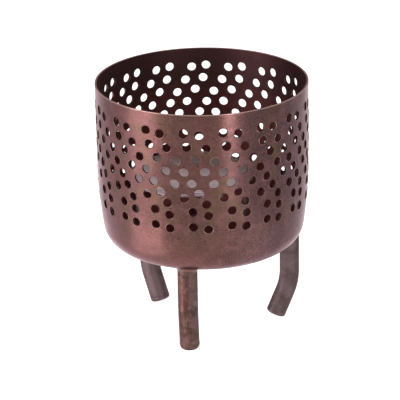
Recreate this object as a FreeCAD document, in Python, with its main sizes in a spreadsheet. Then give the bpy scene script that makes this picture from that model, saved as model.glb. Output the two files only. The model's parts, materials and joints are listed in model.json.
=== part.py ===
"""Fire pit with a loose grate.

A drawn steel bowl with punched air holes stands on three bent pipe legs. A grate welded from
round bar stands loose inside it on three feet. The origin is on the ground under the bowl's
axis, +Z is up and -Y is the front. Lengths are in millimetres. An angle round the bowl is in
degrees from the front, and grows towards +X.
"""
import FreeCAD
import Part
import Sketcher
import math
import os

DIMENSIONS = [
    # the bowl: one piece of sheet, drawn into a cup
    ("rim_height", 436.0),
    ("bowl_radius", 178.0),
    ("bowl_depth", 283.0),
    ("sheet_thickness", 3.0),
    ("straight_wall", 136.0),
    ("taper_radius", 850.0),
    ("corner_radius", 38.0),
    # the air holes: groups of two slanting columns, punched through the wall
    ("hole_diameter", 16.0),
    ("group_count", 17.0),
    ("group_pitch", 20.83),
    ("first_group", -93.45),
    ("column_spacing", 8.1),
    ("lean_rate", 0.218),
    ("lean_total", 25.3),
    ("left_lean_start", 46.0),
    ("right_lean_start", 40.0),
    # the legs: bent pipe with welded end caps
    ("pipe_diameter", 33.7),
    ("pipe_wall", 2.6),
    ("bend_start_height", 84.0),
    ("bend_radius", 100.0),
    ("cap_thickness", 6.0),
    ("cap_rounding", 3.5),
    ("foot_flat_depth", 1.0),
    ("braze_size", 7.0),
    ("leg_twist", 8.0),
    ("front_azimuth", -12.8),
    ("front_reach", 131.0),
    ("front_bend", 13.0),
    ("right_azimuth", 96.5),
    ("right_reach", 147.0),
    ("right_bend", 23.5),
    ("left_azimuth", -133.6),
    ("left_reach", 134.0),
    ("left_bend", 20.0),
    # the grate: round bar, loose in the bowl and a little off its centre
    ("grate_top_height", 272.0),
    ("grate_offset", -20.0),
    ("grate_radius", 106.0),
    ("bar_diameter", 6.0),
    ("bar_count", 24.0),
    ("bar_pitch", 8.0),
    ("brace_offset", 48.0),
    ("foot_diameter", 8.0),
    ("foot_notch", 0.6),
]

# how far below the rim each hole of a group's two columns is
LEFT_COLUMN_DEPTHS = [31, 54, 75, 97, 118, 142, 166, 193]
RIGHT_COLUMN_DEPTHS = [34, 57, 79, 98, 117, 134, 152, 173, 197]

GRATE_FOOT_AZIMUTHS = [60, 180, 300]
LEG_SIDES = ["front", "right", "left"]

UP = FreeCAD.Vector(0, 0, 1)
ORIGIN = FreeCAD.Vector(0, 0, 0)

doc = FreeCAD.newDocument("FirePit")
sheet = doc.addObject("Spreadsheet::Sheet", "Dimensions")
for row, (alias, number) in enumerate(DIMENSIONS, start=1):
    sheet.set(f"A{row}", alias)
    sheet.set(f"B{row}", str(number))
    sheet.setAlias(f"B{row}", alias)
doc.recompute()


def size(alias):
    """The number that the sheet holds under this alias."""
    return float(sheet.get(alias))


def bind(item, settings):
    """Bind properties, or a sketch's named constraints, to expressions on the sheet."""
    for prop, expression in settings.items():
        for alias, _ in sorted(DIMENSIONS, key=lambda pair: -len(pair[0])):
            expression = expression.replace("<" + alias + ">", "Dimensions." + alias)
        item.setExpression(prop, expression)


def origin_plane(body, role):
    """One of the body's own three origin planes."""
    return next(plane for plane in body.Origin.OriginFeatures if plane.Role == role)


def new_sketch(body, name, role):
    """An empty sketch on one of the body's origin planes."""
    sketch = body.newObject("Sketcher::SketchObject", name)
    sketch.AttachmentSupport = [(origin_plane(body, role), "")]
    sketch.MapMode = "FlatFace"
    return sketch


def named(sketch, name, expression, *constraint):
    """Add one dimension to a sketch and bind it to the sheet."""
    index = sketch.addConstraint(Sketcher.Constraint(*constraint))
    sketch.renameConstraint(index, name)
    bind(sketch, {"Constraints." + name: expression})


def line(x1, y1, x2, y2):
    return Part.LineSegment(FreeCAD.Vector(x1, y1, 0), FreeCAD.Vector(x2, y2, 0))


def arc(x, y, radius, start, end):
    """An arc about (x, y), counterclockwise between two angles in radians."""
    circle = Part.Circle(FreeCAD.Vector(x, y, 0), UP, radius)
    return Part.ArcOfCircle(circle, start, end)


def turn_to(azimuth):
    """Turns what was drawn towards +X to an azimuth round the bowl."""
    return FreeCAD.Placement(ORIGIN, FreeCAD.Rotation(UP, azimuth - 90))


def radial(azimuth, radius, height):
    """The point at a radius and height on an azimuth round the bowl."""
    angle = math.radians(azimuth)
    return FreeCAD.Vector(radius * math.sin(angle), -radius * math.cos(angle), height)


# ---------------------------------------------------------------- the bowl

def revolved_bowl(name, with_hollow):
    """The bowl turned about Z: the sheet itself, or the same outside filled solid."""
    body = doc.addObject("PartDesign::Body", name)
    sketch = new_sketch(body, name + "_profile", "XZ_Plane")
    radius = size("bowl_radius")
    rim = size("rim_height")
    floor = rim - size("bowl_depth")
    wall_end = rim - size("straight_wall")
    big = size("taper_radius")
    small = size("corner_radius")
    sheet_size = size("sheet_thickness")
    drop = wall_end - floor - small
    flat = radius - big + math.sqrt((big - small) ** 2 - drop ** 2)
    joint = -math.asin(drop / (big - small))
    quarter = -math.pi / 2

    sketch.addGeometry(line(0, floor, flat, floor))
    sketch.addGeometry(arc(flat, floor + small, small, quarter, joint))
    sketch.addGeometry(arc(radius - big, wall_end, big, joint, 0))
    sketch.addGeometry(line(radius, wall_end, radius, rim))
    sketch.addConstraint(Sketcher.Constraint("Tangent", 0, 2, 1, 1))
    sketch.addConstraint(Sketcher.Constraint("Tangent", 1, 2, 2, 1))
    sketch.addConstraint(Sketcher.Constraint("Tangent", 2, 2, 3, 1))
    if with_hollow:
        inner = radius - sheet_size
        sketch.addGeometry(line(radius, rim, inner, rim))
        sketch.addGeometry(line(inner, rim, inner, wall_end))
        sketch.addGeometry(arc(radius - big, wall_end, big - sheet_size, joint, 0))
        sketch.addGeometry(arc(flat, floor + small, small - sheet_size, quarter, joint))
        sketch.addGeometry(line(flat, floor + sheet_size, 0, floor + sheet_size))
        sketch.addGeometry(line(0, floor + sheet_size, 0, floor))
        sketch.addConstraint(Sketcher.Constraint("Coincident", 4, 2, 5, 1))
        sketch.addConstraint(Sketcher.Constraint("Tangent", 5, 2, 6, 2))
        sketch.addConstraint(Sketcher.Constraint("Tangent", 6, 1, 7, 2))
        sketch.addConstraint(Sketcher.Constraint("Tangent", 7, 1, 8, 1))
        sketch.addConstraint(Sketcher.Constraint("Coincident", 8, 2, 9, 1))
        sketch.addConstraint(Sketcher.Constraint("Coincident", 2, 3, 6, 3))
        sketch.addConstraint(Sketcher.Constraint("Coincident", 1, 3, 7, 3))
        sketch.addConstraint(Sketcher.Constraint("Vertical", 5))
        sketch.addConstraint(Sketcher.Constraint("Horizontal", 8))
        named(sketch, "thickness", "<sheet_thickness>", "DistanceX", 4, 2, 4, 1, sheet_size)
    else:
        sketch.addGeometry(line(radius, rim, 0, rim))
        sketch.addGeometry(line(0, rim, 0, floor))
        sketch.addConstraint(Sketcher.Constraint("Coincident", 4, 2, 5, 1))
    last = sketch.GeometryCount - 1
    sketch.addConstraint(Sketcher.Constraint("Coincident", last, 2, 0, 1))
    sketch.addConstraint(Sketcher.Constraint("Coincident", 3, 2, 4, 1))
    sketch.addConstraint(Sketcher.Constraint("Horizontal", 0))
    sketch.addConstraint(Sketcher.Constraint("Horizontal", 4))
    sketch.addConstraint(Sketcher.Constraint("Vertical", 3))
    sketch.addConstraint(Sketcher.Constraint("Vertical", last))
    sketch.addConstraint(Sketcher.Constraint("PointOnObject", 0, 1, -2))
    named(sketch, "outer_radius", "<bowl_radius>", "DistanceX", -1, 1, 3, 2, radius)
    named(sketch, "rim", "<rim_height>", "DistanceY", -1, 1, 3, 2, rim)
    named(sketch, "depth", "<bowl_depth>", "DistanceY", 0, 1, 3, 2, rim - floor)
    named(sketch, "wall", "<straight_wall>", "DistanceY", 3, 1, 3, 2, rim - wall_end)
    named(sketch, "taper", "<taper_radius>", "Radius", 2, big)
    named(sketch, "corner", "<corner_radius>", "Radius", 1, small)

    turned = body.newObject("PartDesign::Revolution", name + "_turned")
    turned.Profile = sketch
    turned.ReferenceAxis = (sketch, ["V_Axis"])
    turned.Angle = 360
    body.Tip = turned
    doc.recompute()
    return body


def hole_places():
    """Azimuth and depth of each hole in the first group, down its left and its right column.

    Each column drops straight from the rim, leans round the bowl at an even rate and ends
    straight again above the rounded bottom.
    """
    columns = [
        (LEFT_COLUMN_DEPTHS, size("first_group"), size("left_lean_start")),
        (RIGHT_COLUMN_DEPTHS, size("first_group") + size("column_spacing"),
         size("right_lean_start")),
    ]
    for depths, azimuth, lean_start in columns:
        for depth in depths:
            lean = (depth - lean_start) * size("lean_rate")
            yield azimuth + min(max(lean, 0), size("lean_total")), depth


def punch_bowl(body):
    """Punch each hole of the first group through the wall and repeat it round the bowl."""
    profile = body.Group[0]
    reach = 4 * size("sheet_thickness")
    for azimuth, depth in hole_places():
        punch = body.newObject("PartDesign::SubtractiveCylinder", "punch")
        bind(punch, {"Radius": "<hole_diameter> / 2", "Height": "8 * <sheet_thickness>"})
        start = radial(azimuth, size("bowl_radius") - reach, size("rim_height") - depth)
        outwards = FreeCAD.Rotation(UP, radial(azimuth, 1, 0))
        punch.Placement = FreeCAD.Placement(start, outwards)
        ring = body.newObject("PartDesign::PolarPattern", "punched_ring")
        ring.Originals = [punch]
        ring.Axis = (profile, ["V_Axis"])
        bind(ring, {"Angle": "(<group_count> - 1) * <group_pitch>",
                    "Occurrences": "<group_count>"})
        body.Tip = ring
    doc.recompute()


# ---------------------------------------------------------------- the legs

def twist(side):
    """Turns a leg drawn towards +X about its own upright part, so that its bend isn't radial."""
    return FreeCAD.Placement(ORIGIN, FreeCAD.Rotation(UP, size("leg_twist")),
                             FreeCAD.Vector(size(side + "_reach"), 0, 0))


def bent_bar(name, side, hollow):
    """A leg's pipe, or the solid rod of its outside, bent inwards and drawn towards +X."""
    body = doc.addObject("PartDesign::Body", name)
    reach = size(side + "_reach")
    bend = math.radians(size(side + "_bend"))
    radius = size("bend_radius")
    start = size("bend_start_height")
    top = size("rim_height") - size("bowl_depth") + size("corner_radius")
    outer = size("pipe_diameter") / 2
    rounding = size("cap_rounding")
    end = ((outer - rounding) * math.sin(bend) + rounding * (1 - math.cos(bend))
           + size("cap_thickness") * math.cos(bend) - size("foot_flat_depth"))
    bent_x = reach - radius * (1 - math.cos(bend))
    bent_z = start - radius * math.sin(bend)
    end_x = bent_x - (bent_z - end) * math.tan(bend)

    path = new_sketch(body, name + "_path", "XZ_Plane")
    path.addGeometry(line(reach, top, reach, start))
    path.addGeometry(arc(reach - radius, start, radius, -bend, 0))
    path.addGeometry(line(end_x, end, bent_x, bent_z))
    path.addConstraint(Sketcher.Constraint("Vertical", 0))
    path.addConstraint(Sketcher.Constraint("Tangent", 0, 2, 1, 2))
    path.addConstraint(Sketcher.Constraint("Tangent", 1, 1, 2, 2))
    named(path, "reach", f"<{side}_reach>", "DistanceX", -1, 1, 0, 1, reach)
    named(path, "start", "<bend_start_height>", "DistanceY", -1, 1, 0, 2, start)
    named(path, "top", "<rim_height> - <bowl_depth> + <corner_radius>",
          "DistanceY", -1, 1, 0, 1, top)
    named(path, "radius", "<bend_radius>", "Radius", 1, radius)
    named(path, "slope", f"90 - <{side}_bend>", "Angle", 2, math.pi / 2 - bend)
    named(path, "end", f"(<pipe_diameter> / 2 - <cap_rounding>) * sin(<{side}_bend> * 1 deg)"
          f" + <cap_rounding> * (1 - cos(<{side}_bend> * 1 deg))"
          f" + <cap_thickness> * cos(<{side}_bend> * 1 deg) - <foot_flat_depth>",
          "DistanceY", -1, 1, 2, 1, end)

    ring = new_sketch(body, name + "_section", "XY_Plane")
    bind(ring, {"AttachmentOffset.Base.z": "<rim_height> - <bowl_depth> + <corner_radius>"})
    ring.addGeometry(Part.Circle(FreeCAD.Vector(reach, 0, 0), UP, outer))
    ring.addConstraint(Sketcher.Constraint("PointOnObject", 0, 3, -1))
    named(ring, "reach", f"<{side}_reach>", "DistanceX", -1, 1, 0, 3, reach)
    named(ring, "outside", "<pipe_diameter>", "Diameter", 0, 2 * outer)
    if hollow:
        bore = 2 * (outer - size("pipe_wall"))
        ring.addGeometry(Part.Circle(FreeCAD.Vector(reach, 0, 0), UP, bore / 2))
        ring.addConstraint(Sketcher.Constraint("Coincident", 1, 3, 0, 3))
        named(ring, "bore", "<pipe_diameter> - 2 * <pipe_wall>", "Diameter", 1, bore)

    swept = body.newObject("PartDesign::AdditivePipe", name + "_swept")
    swept.Profile = ring
    swept.Spine = (path, ["Edge1", "Edge2", "Edge3"])
    body.Tip = swept
    body.Placement = twist(side)
    doc.recompute()
    foot = FreeCAD.Placement(FreeCAD.Vector(end_x, 0, end),
                             FreeCAD.Rotation(FreeCAD.Vector(0, 1, 0), math.degrees(bend)))
    return body, twist(side) * foot


def end_cap(name, foot):
    """A thick disc with a rounded edge, which closes the pipe's lower end."""
    body = doc.addObject("PartDesign::Body", name)
    disc = new_sketch(body, name + "_disc", "XY_Plane")
    disc.addGeometry(Part.Circle(ORIGIN, UP, size("pipe_diameter") / 2))
    disc.addConstraint(Sketcher.Constraint("Coincident", 0, 3, -1, 1))
    named(disc, "outside", "<pipe_diameter>", "Diameter", 0, size("pipe_diameter"))
    pad = body.newObject("PartDesign::Pad", name + "_pad")
    pad.Profile = disc
    pad.Reversed = True
    bind(pad, {"Length": "<cap_thickness>"})
    doc.recompute()
    lower = min(range(len(pad.Shape.Edges)),
                key=lambda index: pad.Shape.Edges[index].BoundBox.ZMax)
    rounding = body.newObject("PartDesign::Fillet", name + "_rounding")
    rounding.Base = (pad, [f"Edge{lower + 1}"])
    bind(rounding, {"Radius": "<cap_rounding>"})
    body.Tip = rounding
    body.Placement = foot
    doc.recompute()
    return body


def cut(label, base, tool, placement=None):
    """A Part::Cut of two objects, under its node's name."""
    result = doc.addObject("Part::Cut", label)
    result.Label = label
    result.Base = base
    result.Tool = tool
    if placement:
        result.Placement = placement
    doc.recompute()
    return result


def braze_bead(label, rod, filled_bowl, side):
    """The concave fillet of braze between a leg and the bowl's rounded underside."""
    joined = filled_bowl.Shape.fuse(rod.Shape)
    floor = size("rim_height") - size("bowl_depth")
    outer = size("pipe_diameter") / 2
    seam = []
    for edge in joined.Edges:
        middle = edge.valueAt((edge.FirstParameter + edge.LastParameter) / 2)
        off_axis = math.hypot(middle.x - size(side + "_reach"), middle.y)
        straight = isinstance(edge.Curve, Part.Line)
        if abs(off_axis - outer) < 0.01 and middle.z > floor - 0.01 and not straight:
            seam.append(edge)
    filled = joined.makeFillet(size("braze_size"), seam)
    bead = doc.addObject("Part::Feature", label)
    bead.Label = label
    bead.Shape = filled.cut(filled_bowl.Shape).cut(rod.Shape)
    bead.Placement = turn_to(size(side + "_azimuth"))
    return bead


# ---------------------------------------------------------------- the grate

def bar_height():
    """The level of the grate's bars, at their centre lines."""
    return size("grate_top_height") - size("bar_diameter") / 2


def grate_ring():
    """A round bar bent to a hoop."""
    ring = doc.addObject("Part::Torus", "grate_ring")
    ring.Label = "grate_ring"
    bind(ring, {"Radius1": "<grate_radius> - <bar_diameter> / 2",
                "Radius2": "<bar_diameter> / 2",
                "Placement.Base.x": "<grate_offset>",
                "Placement.Base.z": "<grate_top_height> - <bar_diameter> / 2"})
    doc.recompute()
    return ring


def round_bar(name, start, direction, length, diameter):
    """A straight round bar from a point. Its length is a number, its diameter an expression."""
    bar = doc.addObject("Part::Cylinder", name)
    bar.Label = name
    bind(bar, {"Radius": f"{diameter} / 2"})
    bar.Height = length
    bar.Placement = FreeCAD.Placement(start, FreeCAD.Rotation(UP, direction))
    return bar


def grate_pieces():
    """The hoop, its bars, the two braces under them and three feet."""
    ring = grate_ring()
    pieces = [ring]
    hoop = size("grate_radius") - size("bar_diameter") / 2
    middle = size("grate_offset")
    count = int(size("bar_count"))
    for number in range(count):
        across = (number - (count - 1) / 2) * size("bar_pitch")
        half = math.sqrt(hoop ** 2 - across ** 2)
        start = FreeCAD.Vector(middle - half, across, bar_height())
        blank = round_bar(f"bar_blank_{number + 1:02d}", start, FreeCAD.Vector(1, 0, 0),
                          2 * half, "<bar_diameter>")
        pieces.append(cut(f"grate_bar_{number + 1:02d}", blank, ring))
    for name, side in [("grate_brace_left", -1), ("grate_brace_right", 1)]:
        across = side * size("brace_offset")
        half = math.sqrt(hoop ** 2 - across ** 2)
        start = FreeCAD.Vector(middle + across, -half, bar_height() - size("bar_diameter"))
        pieces.append(round_bar(name, start, FreeCAD.Vector(0, 1, 0), 2 * half,
                                "<bar_diameter>"))
    inside = size("rim_height") - size("bowl_depth") + size("sheet_thickness")
    for number, azimuth in enumerate(GRATE_FOOT_AZIMUTHS, start=1):
        start = radial(azimuth, hoop, inside) + FreeCAD.Vector(middle, 0, 0)
        height = size("grate_top_height") - size("bar_diameter") + size("foot_notch") - inside
        blank = round_bar(f"foot_blank_{number}", start, UP, height, "<foot_diameter>")
        pieces.append(cut(f"grate_foot_{number}", blank, ring))
    return pieces


# ---------------------------------------------------------------- the assembly

def build():
    """Every piece of the fire pit, one object for each node."""
    bowl = revolved_bowl("bowl", with_hollow=True)
    whole = bowl.Shape.Volume
    punch_bowl(bowl)
    one_hole = math.pi * size("hole_diameter") ** 2 / 4 * size("sheet_thickness")
    holes = size("group_count") * (len(LEFT_COLUMN_DEPTHS) + len(RIGHT_COLUMN_DEPTHS))
    punched = (whole - bowl.Shape.Volume) / one_hole
    if abs(punched / holes - 1) > 0.03:
        raise RuntimeError(f"{punched:.1f} holes were punched, not {holes:.0f}")
    filled_bowl = revolved_bowl("filled_bowl", with_hollow=False)
    ground = doc.addObject("Part::Box", "ground")
    ground.Length = 2 * size("bowl_radius")
    ground.Width = size("bowl_radius")
    ground.Height = size("bowl_radius")
    ground.Placement.Base = FreeCAD.Vector(0, -ground.Width.Value / 2, -ground.Height.Value)

    pieces = [bowl]
    for side in LEG_SIDES:
        turned = turn_to(size(side + "_azimuth"))
        pipe, foot = bent_bar(f"pipe_{side}", side, hollow=True)
        rod, _ = bent_bar(f"rod_{side}", side, hollow=False)
        pieces.append(cut(f"leg_{side}", pipe, filled_bowl, turned))
        blank = end_cap(f"cap_blank_{side}", foot)
        pieces.append(cut(f"leg_cap_{side}", blank, ground, turned))
        pieces.append(braze_bead(f"leg_braze_{side}", rod, filled_bowl, side))
    return pieces + grate_pieces()


def check_and_export(pieces):
    """Stop if anything in the document failed, then write one file for each node."""
    doc.recompute()
    for item in doc.Objects:
        if "Invalid" in item.State or "Error" in item.State:
            raise RuntimeError(f"{item.Name} failed: {item.State}")
    for piece in pieces:
        shape = piece.Shape
        if shape.isNull() or not shape.isValid() or len(shape.Solids) != 1:
            raise RuntimeError(f"{piece.Label} is not one valid solid")
    os.makedirs("parts", exist_ok=True)
    for piece in pieces:
        piece.Shape.exportStep(f"parts/{piece.Label}.step")
        box = piece.Shape.BoundBox
        print(f"{piece.Label:20s} {piece.Shape.Volume / 1000:9.2f} cm3  "
              f"x {box.XMin:7.1f} {box.XMax:7.1f}  y {box.YMin:7.1f} {box.YMax:7.1f}  "
              f"z {box.ZMin:6.1f} {box.ZMax:6.1f}")


check_and_export(build())
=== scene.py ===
"""Looks of the fire pit with a loose grate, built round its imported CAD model.

Lengths are in metres. +Z is up and -Y is the front. Azimuths are in degrees round the bowl's
axis, from the front towards +X. Colours are linear.
"""
import bmesh
import bpy
import json
import math
import random
from mathutils import Matrix, Vector


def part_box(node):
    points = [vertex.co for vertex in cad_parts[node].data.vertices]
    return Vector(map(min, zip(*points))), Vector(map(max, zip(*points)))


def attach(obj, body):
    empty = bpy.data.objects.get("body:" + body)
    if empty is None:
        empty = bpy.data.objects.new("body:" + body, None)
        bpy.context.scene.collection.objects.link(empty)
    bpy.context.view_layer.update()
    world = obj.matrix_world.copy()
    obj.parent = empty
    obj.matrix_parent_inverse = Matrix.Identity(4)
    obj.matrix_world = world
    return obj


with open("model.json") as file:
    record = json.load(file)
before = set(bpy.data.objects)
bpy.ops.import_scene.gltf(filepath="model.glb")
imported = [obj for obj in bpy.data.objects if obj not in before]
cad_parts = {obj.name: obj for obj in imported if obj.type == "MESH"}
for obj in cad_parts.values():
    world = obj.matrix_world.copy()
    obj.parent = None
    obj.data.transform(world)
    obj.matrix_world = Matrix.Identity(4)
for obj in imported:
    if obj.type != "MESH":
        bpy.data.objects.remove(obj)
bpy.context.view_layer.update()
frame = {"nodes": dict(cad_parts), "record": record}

BODY = "fire_bowl"
GRATE = "grate"
SIDES = ("front", "right", "left")


# ---------------------------------------------------------------- places taken from the frame

BOWL_LOW, BOWL_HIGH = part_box("bowl")
RIM = BOWL_HIGH.z
RADIUS = (BOWL_HIGH.x - BOWL_LOW.x) / 2
GRATE_LOW, GRATE_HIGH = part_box("grate_ring")
GRATE_CENTRE = (GRATE_LOW + GRATE_HIGH) / 2
LOWEST_HOLE = RIM - 1.16 * RADIUS
MIDDLE = Vector((0, 0, RIM * 0.55))


def around(azimuth, radius, height):
    """The point at a radius and height on an azimuth round the bowl."""
    angle = math.radians(azimuth)
    return Vector((radius * math.sin(angle), -radius * math.cos(angle), height))


# ---------------------------------------------------------------- sizes of the small work

BURR_OUTSIDE = 0.0005
BURR_INSIDE = 0.0003
BURR_SIDES = 6
SEAM = 0.0004
BAR_BEAD = 0.0012
BRACE_BEAD = 0.0022
FOOT_BEAD = 0.0014
BEAD_POINTS = 18


# ---------------------------------------------------------------- colours

def rgb(red, green, blue):
    return (red, green, blue, 1.0)


WHITE = (1, 1, 1)

PLATE_RED = rgb(0.095, 0.040, 0.037)
PLATE_BROWN = rgb(0.070, 0.035, 0.027)
# painted sheen: pinker and lighter at the left of the bowl
PLATE_PAINTED_SHEEN_LEFT = rgb(0.105, 0.047, 0.050)
# painted shade: darker and greyer at the right of the bowl
PLATE_PAINTED_SHADE_RIGHT = rgb(0.042, 0.029, 0.036)
# painted reflection: paler grey at the bowl's right edge
PLATE_PAINTED_REFLECTION_EDGE = rgb(0.090, 0.072, 0.084)
PLATE_TARNISH = rgb(0.076, 0.050, 0.028)
PLATE_SMOKE = rgb(0.042, 0.024, 0.026)
PLATE_BLOTS = rgb(0.140, 0.062, 0.068)
PLATE_GRAIN = rgb(0.125, 0.060, 0.057)
PLATE_SPECKS = rgb(0.025, 0.012, 0.011)
PLATE_GLANCING = rgb(0.90, 0.78, 0.82)
# painted light inside the bowl: a bright red glow where the low inside lies in shade, then lighter
# at the left and darker at the right
INSIDE_PAINTED_GLOW_LOW = rgb(0.240, 0.068, 0.063)
INSIDE_PAINTED_LIGHT_LEFT = rgb(0.102, 0.046, 0.047)
INSIDE_PAINTED_SHADE_RIGHT = rgb(0.078, 0.033, 0.037)
# painted shade on the walls of the punched holes
PUNCHED_WALL_PAINTED_SHADE = rgb(0.030, 0.012, 0.012)
CUT_RIM = rgb(0.48, 0.30, 0.28)
# painted light: paler braze to lift the shade in the joint under the bowl
BRAZE_PAINTED_LIGHT = rgb(0.24, 0.13, 0.12)

EDGE_DULL = rgb(0.09, 0.045, 0.042)
EDGE_RUBBED = rgb(0.26, 0.15, 0.14)

LEG_RED = rgb(0.064, 0.025, 0.021)
LEG_STREAKS = rgb(0.124, 0.067, 0.061)
# painted shade: olive darkening from the front leg's middle rightwards
LEG_PAINTED_SHADE_OLIVE = rgb(0.060, 0.043, 0.040)
# painted reflection: paler grey on the two rear legs
LEG_PAINTED_REFLECTION_GREY = rgb(0.125, 0.094, 0.100)
LEG_CLOUDS = rgb(0.036, 0.022, 0.018)
LEG_BLOTS = rgb(0.150, 0.096, 0.092)
LEG_GRAIN = rgb(0.05, 0.03, 0.025)
LEG_GLANCING = rgb(0.70, 0.62, 0.62)

STEEL_BRIGHT = rgb(0.62, 0.50, 0.525)
STEEL_DULL = rgb(0.49, 0.385, 0.395)
# painted shade: darker steel towards the rear of the grate
STEEL_PAINTED_SHADE = rgb(0.17, 0.115, 0.105)


# ---------------------------------------------------------------- material graphs

class Graph:
    """A short way to write a node material."""

    def __init__(self, name):
        self.material = bpy.data.materials.new(name)
        self.material.use_nodes = True
        self.tree = self.material.node_tree
        self.tree.nodes.clear()
        self.output = self.add("ShaderNodeOutputMaterial")

    def add(self, kind, inputs=None, **settings):
        """A node with its settings, and its inputs linked or set."""
        node = self.tree.nodes.new(kind)
        for name, value in settings.items():
            setattr(node, name, value)
        for name, value in (inputs or {}).items():
            self.feed(node.inputs[name], value)
        return node

    def feed(self, socket, value):
        """Link another node's output to a socket, or set the socket to a value."""
        if isinstance(value, bpy.types.NodeSocket):
            self.tree.links.new(value, socket)
        else:
            socket.default_value = value

    def math(self, operation, first, second=0.0, third=0.0):
        node = self.add("ShaderNodeMath", {0: first, 1: second, 2: third}, operation=operation)
        return node.outputs[0]

    def position(self):
        """The point in the object's own frame, which is the row frame."""
        return self.add("ShaderNodeTexCoord").outputs["Object"]

    def parts(self, vector):
        """A vector's X, Y and Z."""
        return self.add("ShaderNodeSeparateXYZ", {0: vector}).outputs

    def stretched(self, vector, x, y, z):
        node = self.add("ShaderNodeVectorMath", {0: vector, 1: (x, y, z)}, operation="MULTIPLY")
        return node.outputs[0]

    def noise(self, vector, scale, detail=3.0, rough=0.5, warp=0.0):
        node = self.add("ShaderNodeTexNoise", {"Vector": vector, "Scale": scale, "Detail": detail,
                                               "Roughness": rough, "Distortion": warp})
        return node.outputs["Fac"]

    def remap(self, value, low, high, to_low=0.0, to_high=1.0):
        """A value that goes from to_low to to_high while the input goes from low to high."""
        node = self.add("ShaderNodeMapRange", {"Value": value, "From Min": low, "From Max": high,
                                               "To Min": to_low, "To Max": to_high})
        node.clamp = True
        return node.outputs["Result"]

    def mix(self, factor, first, second):
        """A colour between two colours."""
        node = self.add("ShaderNodeMix", data_type="RGBA")
        self.feed(node.inputs["Factor"], factor)
        self.feed(node.inputs[6], first)
        self.feed(node.inputs[7], second)
        return node.outputs[2]

    def layered(self, color, *layers):
        """A colour under layers, each of them (factor, colour), the last one on top."""
        for factor, layer in layers:
            color = self.mix(factor, color, layer)
        return color

    def bump(self, height, distance, strength):
        node = self.add("ShaderNodeBump", {"Strength": strength, "Distance": distance,
                                           "Height": height})
        return node.outputs["Normal"]

    def surface(self, color, roughness, bump=None, **constants):
        """The one shader: a colour, a roughness, a bump and constants on its own sockets."""
        shader = self.add("ShaderNodeBsdfPrincipled")
        self.feed(shader.inputs["Base Color"], color)
        self.feed(shader.inputs["Roughness"], roughness)
        for name, value in constants.items():
            shader.inputs[name.replace("_", " ")].default_value = value
        if bump is not None:
            self.tree.links.new(bump, shader.inputs["Normal"])
        self.tree.links.new(shader.outputs[0], self.output.inputs["Surface"])


def facing_out(graph, point):
    """How squarely a face looks away from the bowl's axis, from -1 to 1, and how far up."""
    flat = graph.stretched(point, 1, 1, 0)
    outwards = graph.add("ShaderNodeVectorMath", {0: flat}, operation="NORMALIZE").outputs[0]
    normal = graph.add("ShaderNodeNewGeometry").outputs["True Normal"]
    facing = graph.add("ShaderNodeVectorMath", {0: outwards, 1: normal},
                       operation="DOT_PRODUCT").outputs["Value"]
    return facing, graph.parts(normal)["Z"]


def copper_plate(graph, point, place):
    """The plating as on the bowl's outside: its colour, roughness and bump.

    It is satin and mottled, with fine rings round the bowl from the drawing and polishing; it has
    a painted sheen at the left, painted shade at the right and a painted reflection at its right
    edge.
    """
    clouds = graph.noise(point, 7.0, 3.0, 0.55, 0.6)
    smoke = graph.noise(point, 18.0, 5.0, 0.6, 0.4)
    tarnish = graph.noise(graph.stretched(point, 1, 1, 0.6), 19.0, 3.0, 0.5, 0.8)
    blots = graph.noise(point, 52.0, 4.0, 0.65, 0.3)
    grain = graph.noise(point, 420.0, 3.0, 0.6)
    specks = graph.noise(point, 210.0, 1.0, 0.4)
    rings = graph.noise(graph.stretched(point, 9, 9, 420), 1.0, 4.0, 0.65)
    # painted sheen at the left, painted shade at the right, painted reflection at the right edge
    painted_sheen_left = graph.remap(place["X"], -0.85 * RADIUS, -0.3 * RADIUS, 0.85, 0)
    painted_shade_right = graph.remap(place["X"], 0.1 * RADIUS, 0.6 * RADIUS, 0, 0.95)
    painted_reflection_edge = graph.remap(place["X"], 0.72 * RADIUS, 0.98 * RADIUS, 0, 0.8)
    color = graph.layered(
        graph.mix(graph.remap(clouds, 0.36, 0.62), PLATE_RED, PLATE_BROWN),
        (painted_sheen_left, PLATE_PAINTED_SHEEN_LEFT),
        (painted_shade_right, PLATE_PAINTED_SHADE_RIGHT),
        (painted_reflection_edge, PLATE_PAINTED_REFLECTION_EDGE),
        (graph.remap(tarnish, 0.50, 0.66, 0, 0.85), PLATE_TARNISH),
        (graph.remap(smoke, 0.48, 0.68, 0, 0.75), PLATE_SMOKE),
        (graph.remap(blots, 0.50, 0.66, 0, 0.6), PLATE_BLOTS),
        (graph.remap(grain, 0.40, 0.62, 0, 0.65), PLATE_GRAIN),
        (graph.remap(specks, 0.70, 0.76, 0, 0.8), PLATE_SPECKS))
    rough = graph.math("ADD", graph.remap(smoke, 0.3, 0.7, 0.25, 0.36),
                       graph.remap(rings, 0.3, 0.7, -0.04, 0.05))
    relief = graph.math("ADD", graph.math("MULTIPLY", rings, 0.35),
                        graph.math("MULTIPLY", grain, 0.25))
    return color, rough, graph.bump(relief, 0.0004, 0.35)


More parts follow.
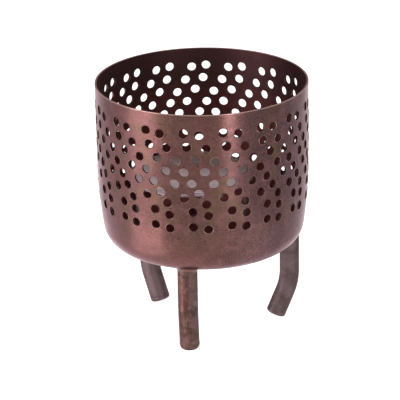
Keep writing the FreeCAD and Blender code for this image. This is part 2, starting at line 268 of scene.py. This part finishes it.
def copper_bowl():
    """Antique copper plate on drawn sheet, bright on its cut rim. Its inside is rougher and painted
    with light and shade: a bright red painted glow low down, lighter at the left and darker at the
    right. The walls of its holes are dark with painted shade.
    """
    graph = Graph("antique_copper_bowl")
    point = graph.position()
    place = graph.parts(point)
    color, rough, bump = copper_plate(graph, point, place)
    facing, upward = facing_out(graph, point)
    inside = graph.math("MAXIMUM", graph.remap(facing, -0.2, -0.5),
                        graph.remap(upward, 0.3, 0.6))
    # painted light and shade inside: lighter at the left, darker at the right, and a bright glow
    # low down
    inside_painted_light_high = graph.mix(graph.remap(place["X"], -0.4 * RADIUS, 0.5 * RADIUS),
                            INSIDE_PAINTED_LIGHT_LEFT, INSIDE_PAINTED_SHADE_RIGHT)
    inside_painted_light_color = graph.mix(graph.remap(place["Z"], RIM - 0.9 * RADIUS, RIM - 0.3 * RADIUS),
                             INSIDE_PAINTED_GLOW_LOW, inside_painted_light_high)
    # painted shade on the hole walls, which face across the bowl's axis
    across = graph.remap(graph.math("ABSOLUTE", facing), 0.55, 0.35)
    pierced = graph.math("MULTIPLY", graph.remap(place["Z"], LOWEST_HOLE - 0.01, LOWEST_HOLE),
                         graph.remap(place["Z"], RIM - 0.002, RIM - 0.004))
    color = graph.layered(
        color,
        (graph.math("MULTIPLY", inside, 0.9), inside_painted_light_color),
        (graph.math("MULTIPLY", across, pierced), PUNCHED_WALL_PAINTED_SHADE),
        (graph.remap(place["Z"], RIM - 0.0006, RIM - 0.0002), CUT_RIM))
    rough = graph.math("ADD", rough, graph.math("MULTIPLY", inside, 0.28))
    graph.surface(color, rough, bump, Metallic=1.0, Anisotropic=0.55, Anisotropic_Rotation=0.25,
                  Specular_Tint=PLATE_GLANCING)
    return graph.material


def copper_braze():
    """The fillets at the legs' tops, plated together with the bowl and painted a little paler,
    painted light that lifts the shade in the joint under the bowl.
    """
    graph = Graph("antique_copper_braze")
    point = graph.position()
    color, rough, bump = copper_plate(graph, point, graph.parts(point))
    # painted light that lifts the shade in the joint
    color = graph.mix(0.2, color, BRAZE_PAINTED_LIGHT)
    graph.surface(color, graph.math("ADD", rough, 0.16), bump, Metallic=1.0)
    return graph.material


def copper_legs():
    """The same plate on drawn pipe: streaked along the leg, with painted shade from the front leg's
    middle rightwards and a paler, greyer painted reflection on the two rear legs.
    """
    graph = Graph("antique_copper_legs")
    point = graph.position()
    streaks = graph.noise(graph.stretched(point, 150, 150, 9), 1.0, 4.0, 0.6, 0.3)
    clouds = graph.noise(point, 22.0, 4.0, 0.6)
    blots = graph.noise(point, 95.0, 4.0, 0.65, 0.3)
    grain = graph.noise(point, 600.0, 2.0, 0.5)
    sideways = graph.parts(point)["X"]
    rear = graph.remap(graph.math("ABSOLUTE", sideways), 0.05, 0.08)
    # painted shade from the middle of the front leg rightwards
    painted_leg_shade = graph.remap(sideways, -0.036, -0.022, 0, 0.6)
    dark = graph.math("MULTIPLY", graph.remap(clouds, 0.46, 0.58),
                      graph.remap(rear, 0, 1, 0.85, 0.45))
    color = graph.layered(
        graph.mix(graph.remap(streaks, 0.39, 0.60), LEG_RED, LEG_STREAKS),
        (painted_leg_shade, LEG_PAINTED_SHADE_OLIVE),
        # painted reflection: the rear legs paler and greyer
        (graph.math("MULTIPLY", rear, 0.7), LEG_PAINTED_REFLECTION_GREY),
        (dark, LEG_CLOUDS),
        (graph.remap(blots, 0.52, 0.66, 0, 0.6), LEG_BLOTS),
        (graph.remap(grain, 0.62, 0.75, 0, 0.5), LEG_GRAIN))
    rough = graph.math("ADD", graph.remap(streaks, 0.3, 0.7, 0.36, 0.52),
                       graph.math("MULTIPLY", rear, 0.16))
    graph.surface(color, rough, graph.bump(streaks, 0.0006, 0.35), Metallic=1.0,
                  Specular_Tint=LEG_GLANCING)
    return graph.material


def worn_edge():
    """Copper rubbed bright where an edge stands proud."""
    graph = Graph("rubbed_copper_edge")
    wear = graph.noise(graph.position(), 45.0, 3.0, 0.6)
    color = graph.mix(graph.remap(wear, 0.38, 0.66), EDGE_DULL, EDGE_RUBBED)
    graph.surface(color, graph.remap(wear, 0.3, 0.7, 0.42, 0.30), Metallic=1.0)
    return graph.material


def grate_steel():
    """Bright round bar with a satin skin, darker towards the rear right with painted shade."""
    graph = Graph("bright_bar_steel")
    point = graph.position()
    clouds = graph.noise(point, 24.0, 3.0, 0.5)
    grain = graph.noise(point, 500.0, 3.0, 0.6)
    place = graph.parts(point)
    # painted shade towards the rear right of the grate
    rearwards = graph.math("MULTIPLY_ADD", place["X"], 0.45, place["Y"])
    color = graph.layered(
        graph.mix(graph.remap(clouds, 0.35, 0.7), STEEL_BRIGHT, STEEL_DULL),
        (graph.remap(rearwards, -0.035, 0.05, 0, 0.9), STEEL_PAINTED_SHADE))
    rough = graph.remap(grain, 0.3, 0.7, 0.36, 0.50)
    graph.surface(color, rough, graph.bump(grain, 0.0003, 0.3), Metallic=1.0)
    return graph.material


def paint(node, material):
    """Give a CAD node its material, in its own slots."""
    slots = frame["nodes"][node].material_slots
    if not slots:
        frame["nodes"][node].data.materials.append(material)
    for item in slots:
        item.material = material


# ---------------------------------------------------------------- helpers for pieces

def new_piece(name, mesh, body, material):
    """A smooth-shaded mesh piece that rides on a body, from a bmesh."""
    data = bpy.data.meshes.new(name)
    bmesh.ops.recalc_face_normals(mesh, faces=mesh.faces)
    for face in mesh.faces:
        face.smooth = True
    mesh.to_mesh(data)
    mesh.free()
    data.materials.append(material)
    piece = bpy.data.objects.new(name, data)
    bpy.context.scene.collection.objects.link(piece)
    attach(piece, body)


def centre_of(points):
    return sum(points, Vector()) / len(points)


def sharp_loops(node, least_angle=50):
    """The closed loops of sharp edges on a CAD node, each a list of points in order."""
    mesh = bmesh.new()
    mesh.from_mesh(frame["nodes"][node].data)
    bmesh.ops.remove_doubles(mesh, verts=mesh.verts, dist=1e-6)
    sharp = [edge for edge in mesh.edges
             if len(edge.link_faces) == 2 and edge.calc_face_angle() > math.radians(least_angle)]
    around_vertex = {}
    for edge in sharp:
        for vertex in edge.verts:
            around_vertex.setdefault(vertex, []).append(edge)
    loops = []
    seen = set()
    for first in sharp:
        if first in seen:
            continue
        seen.add(first)
        start, vertex = first.verts
        points = [start.co.copy()]
        while vertex is not start:
            points.append(vertex.co.copy())
            onward = [edge for edge in around_vertex[vertex] if edge not in seen]
            if not onward:
                break
            seen.add(onward[0])
            vertex = onward[0].other_vert(vertex)
        if vertex is start:
            loops.append(points)
    mesh.free()
    return loops


def add_tube(mesh, points, axis, radius, sides=8):
    """Sweep a round section along a closed loop whose plane is square to an axis."""
    count = len(points)
    rings = []
    for index, point in enumerate(points):
        along = (points[(index + 1) % count] - points[index - 1]).normalized()
        across = along.cross(axis).normalized()
        upright = across.cross(along)
        ring = []
        for side in range(sides):
            angle = math.tau * side / sides
            offset = across * math.cos(angle) + upright * math.sin(angle)
            ring.append(mesh.verts.new(point + radius * offset))
        rings.append(ring)
    for index in range(count):
        near = rings[index]
        far = rings[(index + 1) % count]
        for side in range(sides):
            after = (side + 1) % sides
            mesh.faces.new((near[side], near[after], far[after], far[side]))


def add_collar(mesh, centre, axis, radius, size, dice):
    """A weld bead round a bar: a closed tube, uneven in its radius and thickness."""
    turn = Vector((0, 0, 1)).rotation_difference(axis).to_matrix()
    points = []
    for index in range(BEAD_POINTS):
        angle = math.tau * index / BEAD_POINTS
        reach = radius * (1 + dice.uniform(-0.06, 0.06))
        points.append(centre + turn @ Vector((reach * math.cos(angle), reach * math.sin(angle), 0)))
    add_tube(mesh, points, axis, size * dice.uniform(0.85, 1.15))


def add_lump(mesh, centre, size, dice):
    """A small uneven lump of weld metal, a little flattened."""
    made = bmesh.ops.create_icosphere(mesh, subdivisions=2, radius=size)
    for vertex in made["verts"]:
        vertex.co *= dice.uniform(0.9, 1.1)
        vertex.co.z *= 0.7
        vertex.co += centre


# ---------------------------------------------------------------- pieces

def hole_edges():
    """Both edges of each air hole in the bowl: (points, axis, True for the outer edge)."""
    largest_radius = 0.012
    largest_gap = 0.006
    holes = []
    for points in sharp_loops("bowl"):
        centre = centre_of(points)
        if max((point - centre).length for point in points) < largest_radius:
            holes.append((points, centre))
    edges = []
    for points, centre in holes:
        partner = next(other for _, other in holes
                       if other is not centre and (other - centre).length < largest_gap)
        axis = Vector((centre.x, centre.y, 0)).normalized()
        edges.append((points, axis, centre.xy.length > partner.xy.length))
    return edges


def hole_burrs(material):
    """The rolled burr that the punch leaves round each air hole, outside and inside."""
    dice = random.Random(4)
    mesh = bmesh.new()
    for points, axis, outer in hole_edges():
        radius = (BURR_OUTSIDE if outer else BURR_INSIDE) * dice.uniform(0.75, 1.25)
        add_tube(mesh, points[::3], axis, radius, BURR_SIDES)
    new_piece("hole_burrs", mesh, BODY, material)


def pipe_end(side):
    """The outer edge of a leg's lower pipe end: the widest of the loops nearest the ground."""
    same_end = 0.004
    loops = sharp_loops(f"leg_{side}", 35)
    lowest = min(min(point.z for point in points) for points in loops)
    ends = [points for points in loops if min(point.z for point in points) - lowest < same_end]
    return max(ends, key=lambda points: (points[0] - points[len(points) // 2]).length)


def cap_seams(material):
    """The ground-down weld between each leg's pipe and its end cap."""
    dice = random.Random(7)
    mesh = bmesh.new()
    for side in SIDES:
        edge = pipe_end(side)
        centre = centre_of(edge)
        axis = (edge[0] - centre).cross(edge[len(edge) // 4] - centre).normalized()
        ring = [centre + (point - centre) * (1 + dice.uniform(-0.008, 0.004)) for point in edge]
        add_tube(mesh, ring, axis, SEAM)
    new_piece("cap_seams", mesh, BODY, material)


def grate_welds(material):
    """The beads that hold the grate together: bar ends, braces and feet."""
    dice = random.Random(11)
    mesh = bmesh.new()
    bars = [name for name in frame["record"]["behaviour"]["bodies"][GRATE] if "_bar_" in name]
    braces = [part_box("grate_brace_left"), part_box("grate_brace_right")]
    bar_radius = (GRATE_HIGH.z - GRATE_LOW.z) / 2
    hoop_inside = (GRATE_HIGH.x - GRATE_LOW.x) / 2 - 2 * bar_radius
    beside_brace = 0.0026
    into_bar = 0.0002
    above_foot = 0.0008
    for name in bars:
        low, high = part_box(name)
        across = (low.y + high.y) / 2
        reach = math.sqrt(hoop_inside ** 2 - (across - GRATE_CENTRE.y) ** 2)
        for side in (-1, 1):
            end = Vector((GRATE_CENTRE.x + side * reach, across, GRATE_CENTRE.z))
            add_collar(mesh, end, Vector((1, 0, 0)), bar_radius, BAR_BEAD, dice)
        for brace_low, brace_high in braces:
            middle = (brace_low.x + brace_high.x) / 2
            for side in (-1, 1):
                spot = Vector((middle + side * beside_brace, across, brace_high.z - into_bar))
                add_lump(mesh, spot, BRACE_BEAD, dice)
    for number in (1, 2, 3):
        low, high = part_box(f"grate_foot_{number}")
        top = Vector(((low.x + high.x) / 2, (low.y + high.y) / 2, GRATE_LOW.z + above_foot))
        add_collar(mesh, top, Vector((0, 0, 1)), (high.x - low.x) / 2, FOOT_BEAD, dice)
    new_piece("grate_welds", mesh, GRATE, material)


# ---------------------------------------------------------------- studio

def softbox(name, place, width, height, power, color):
    """A rectangular soft light aimed at the bowl, and not itself in the picture."""
    data = bpy.data.lights.new(name, "AREA")
    data.shape = "RECTANGLE"
    data.size = width
    data.size_y = height
    data.energy = power
    data.color = color
    light = bpy.data.objects.new(name, data)
    light.location = place
    light.visible_camera = False
    light.rotation_euler = (MIDDLE - light.location).to_track_quat("-Z", "Y").to_euler()
    bpy.context.scene.collection.objects.link(light)


def studio():
    """A floor that glows white, an even sky and the soft lights.

    The strips make the two upright highlights on the bowl's wall, the cards carry them on into
    its rounded foot, and the glow lights that foot and the legs from the ground.
    """
    scene = bpy.context.scene
    scene.view_settings.view_transform = "Standard"
    scene.world = bpy.data.worlds.new("studio")
    scene.world.use_nodes = True
    sky = scene.world.node_tree.nodes["Background"]
    sky.inputs["Color"].default_value = rgb(1.0, 0.99, 0.985)
    sky.inputs["Strength"].default_value = 0.30

    bpy.ops.mesh.primitive_plane_add(size=24)
    floor = bpy.context.object
    floor.name = "floor"
    graph = Graph("white_floor")
    graph.surface(rgb(0.80, 0.80, 0.80), 0.9, Emission_Color=rgb(1, 1, 1),
                  Emission_Strength=0.85)
    floor.data.materials.append(graph.material)

    softbox("overhead", (0, 0.6, 4.2), 7.0, 7.0, 90, WHITE)
    softbox("left_strip", around(-62, 1.5, 0.55), 0.90, 1.1, 22, (1.0, 0.97, 0.97))
    softbox("left_card", (-0.39, -0.24, 0.01), 0.30, 0.07, 0.40, (1.0, 0.92, 0.92))
    softbox("right_strip", around(27, 1.0, 0.32), 0.16, 0.4, 2.6, (1.0, 0.96, 0.96))
    softbox("right_card", (0.40, -0.24, 0.005), 0.34, 0.045, 0.12, (1.0, 0.97, 0.98))
    softbox("floor_glow", (0, 0, 0.003), 0.74, 0.74, 0.95, WHITE)


def camera():
    """A long lens from a little above the front, turned by a degree about its own axis."""
    elevation = math.radians(21.62)
    roll = math.radians(-1.0)
    distance = 22 * RADIUS
    target = Vector((0, 0, RIM - 1.213 * RADIUS))
    back = Vector((0, -math.cos(elevation), math.sin(elevation)))
    level = Vector((1, 0, 0))
    upright = back.cross(level)
    right = math.cos(roll) * level + math.sin(roll) * upright
    up = math.cos(roll) * upright - math.sin(roll) * level
    data = bpy.data.cameras.new("camera")
    data.lens = 207.4
    data.sensor_width = 36
    data.shift_x = -0.0091
    data.shift_y = 0.0017
    data.clip_end = 100
    item = bpy.data.objects.new("camera", data)
    item.matrix_world = Matrix((
        (right.x, up.x, back.x, 0), (right.y, up.y, back.y, 0), (right.z, up.z, back.z, 0),
        (0, 0, 0, 1)))
    item.matrix_world.translation = target + distance * back
    bpy.context.scene.collection.objects.link(item)
    bpy.context.scene.camera = item


# ---------------------------------------------------------------- the picture

LEG_COPPER = copper_legs()
BRAZE = copper_braze()
STEEL = grate_steel()
paint("bowl", copper_bowl())
for side in SIDES:
    paint(f"leg_{side}", LEG_COPPER)
    paint(f"leg_cap_{side}", LEG_COPPER)
    paint(f"leg_braze_{side}", BRAZE)
for name in frame["record"]["behaviour"]["bodies"][GRATE]:
    paint(name, STEEL)
EDGE_COPPER = worn_edge()
hole_burrs(EDGE_COPPER)
cap_seams(EDGE_COPPER)
grate_welds(STEEL)
studio()
camera()
